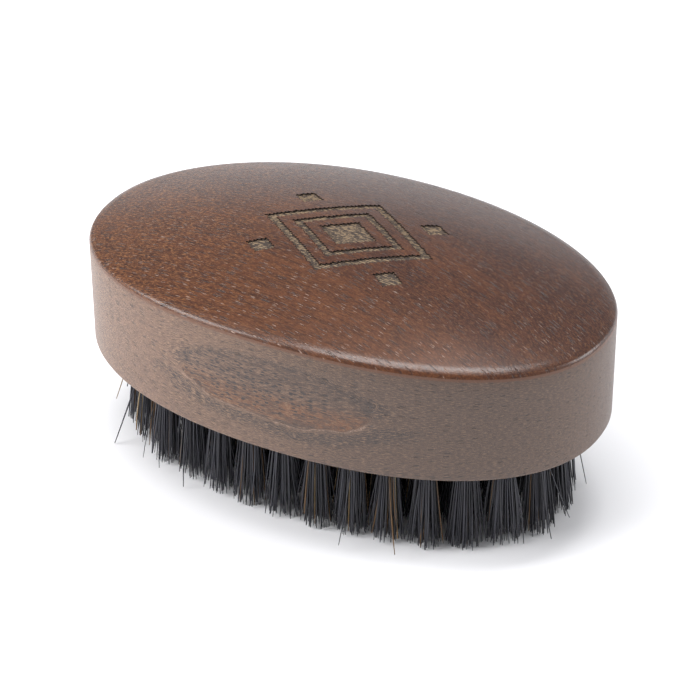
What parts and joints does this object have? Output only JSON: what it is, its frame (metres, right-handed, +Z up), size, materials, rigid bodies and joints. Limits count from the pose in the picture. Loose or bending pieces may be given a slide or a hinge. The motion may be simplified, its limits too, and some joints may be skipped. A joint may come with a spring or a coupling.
{
  "type": "beard brush",
  "caption": "Oval palm brush for beards: a one-piece domed hardwood block whose flat underside holds rings of dark boar bristle tufts.",
  "frame": {"origin": "on the plane of the trimmed bristle tips, under the middle of the block", "axes": "+X along the block's long axis, +Y across it, +Z up from the bristle tips to the domed top"},
  "size_m": [0.105, 0.0634, 0.0497],
  "materials": {
    "wood": "dark stained hardwood, satin lacquer, glossier on the top",
    "bristle": "black boar bristle with a few blond and brown hairs",
    "anchor_brass": "flat wire, sheared"
  },
  "bodies": {
    "root": {"anchor_16": "anchor_brass", "anchor_17": "anchor_brass", "anchor_18": "anchor_brass", "anchor_19": "anchor_brass", "anchor_20": "anchor_brass", "anchor_21": "anchor_brass", "anchor_22": "anchor_brass", "anchor_23": "anchor_brass", "anchor_24": "anchor_brass", "anchor_25": "anchor_brass", "anchor_26": "anchor_brass", "anchor_27": "anchor_brass", "anchor_28": "anchor_brass", "anchor_29": "anchor_brass", "anchor_30": "anchor_brass", "core_tuft_1": "bristle", "core_tuft_2": "bristle", "core_tuft_3": "bristle", "core_tuft_4": "bristle", "core_tuft_5": "bristle", "core_tuft_6": "bristle", "core_tuft_7": "bristle", "outer_tuft_01": "bristle", "outer_tuft_02": "bristle", "outer_tuft_03": "bristle", "outer_tuft_04": "bristle", "outer_tuft_05": "bristle", "outer_tuft_06": "bristle", "outer_tuft_07": "bristle", "outer_tuft_08": "bristle", "outer_tuft_09": "bristle", "outer_tuft_10": "bristle", "outer_tuft_11": "bristle", "outer_tuft_12": "bristle", "outer_tuft_13": "bristle", "outer_tuft_14": "bristle", "outer_tuft_15": "bristle", "outer_tuft_16": "bristle", "outer_tuft_17": "bristle", "outer_tuft_18": "bristle", "outer_tuft_19": "bristle", "outer_tuft_20": "bristle", "outer_tuft_21": "bristle", "outer_tuft_22": "bristle", "outer_tuft_23": "bristle", "outer_tuft_24": "bristle", "outer_tuft_25": "bristle", "outer_tuft_26": "bristle", "outer_tuft_27": "bristle", "outer_tuft_28": "bristle", "outer_tuft_29": "bristle", "outer_tuft_30": "bristle", "second_ring_tufts_1": "bristle", "second_ring_tufts_2": "bristle", "second_ring_tufts_3": "bristle", "second_ring_tufts_4": "bristle", "third_ring_tufts_1": "bristle", "third_ring_tufts_2": "bristle", "third_ring_tufts_3": "bristle", "wood_block": "wood"}
  },
  "joints": []
}
